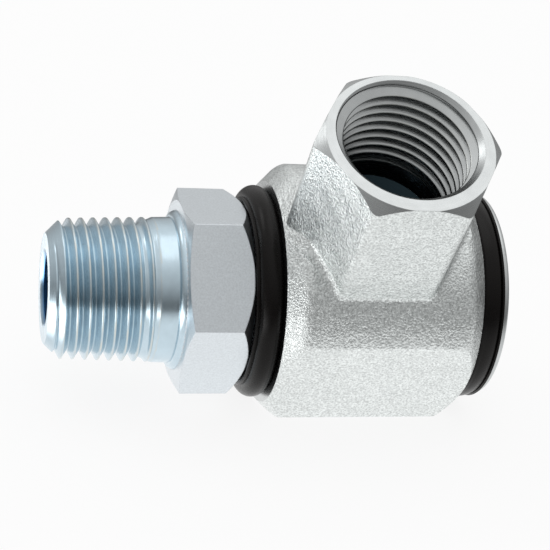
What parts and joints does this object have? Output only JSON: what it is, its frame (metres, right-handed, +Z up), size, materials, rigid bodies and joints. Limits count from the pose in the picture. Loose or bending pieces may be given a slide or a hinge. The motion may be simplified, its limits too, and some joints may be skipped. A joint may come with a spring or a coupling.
{
  "type": "hydraulic swivel joint",
  "caption": "Angled hydraulic swivel joint: a turned stem with a hexagon and a tapered male pipe thread turns in a forged housing with a hexagonal female port.",
  "frame": {"origin": "centre of the resting flat under the point where the stem's axis meets the port's axis", "axes": "+Z up from the resting flat, X along the stem with the male thread towards -X, the port leaning 30 degrees from +Z towards -Y"},
  "size_m": [0.0696, 0.0477, 0.0543],
  "materials": {
    "forged_zinc_steel": "blasted forging, zinc plated, satin",
    "turned_zinc_steel": "turned and milled, zinc plated, bright",
    "spring_steel": "phosphated, dark satin",
    "black_rubber": "moulded, semi-matt",
    "seal_rubber": "moulded, oiled",
    "bearing_plastic": "machined, matt",
    "backup_plastic": "machined, matt"
  },
  "bodies": {
    "housing": {"swivel_body": "forged_zinc_steel", "front_dust_ring": "black_rubber", "rear_dust_ring": "black_rubber", "front_thrust_washer": "bearing_plastic", "rear_thrust_washer": "bearing_plastic"},
    "stem": {"stem": "turned_zinc_steel", "retaining_washer": "turned_zinc_steel", "retaining_ring": "spring_steel", "front_guide_ring": "bearing_plastic", "rear_guide_ring": "bearing_plastic", "front_pressure_seal": "seal_rubber", "rear_pressure_seal": "seal_rubber", "front_outer_backup_ring": "backup_plastic", "front_inner_backup_ring": "backup_plastic", "rear_inner_backup_ring": "backup_plastic", "rear_outer_backup_ring": "backup_plastic"}
  },
  "joints": [
    {"name": "stem_swivel", "type": "hinge", "parent": "housing", "child": "stem", "pos_m": [0, 0, 0.0168], "axis": [1, 0, 0], "continuous": true}
  ]
}
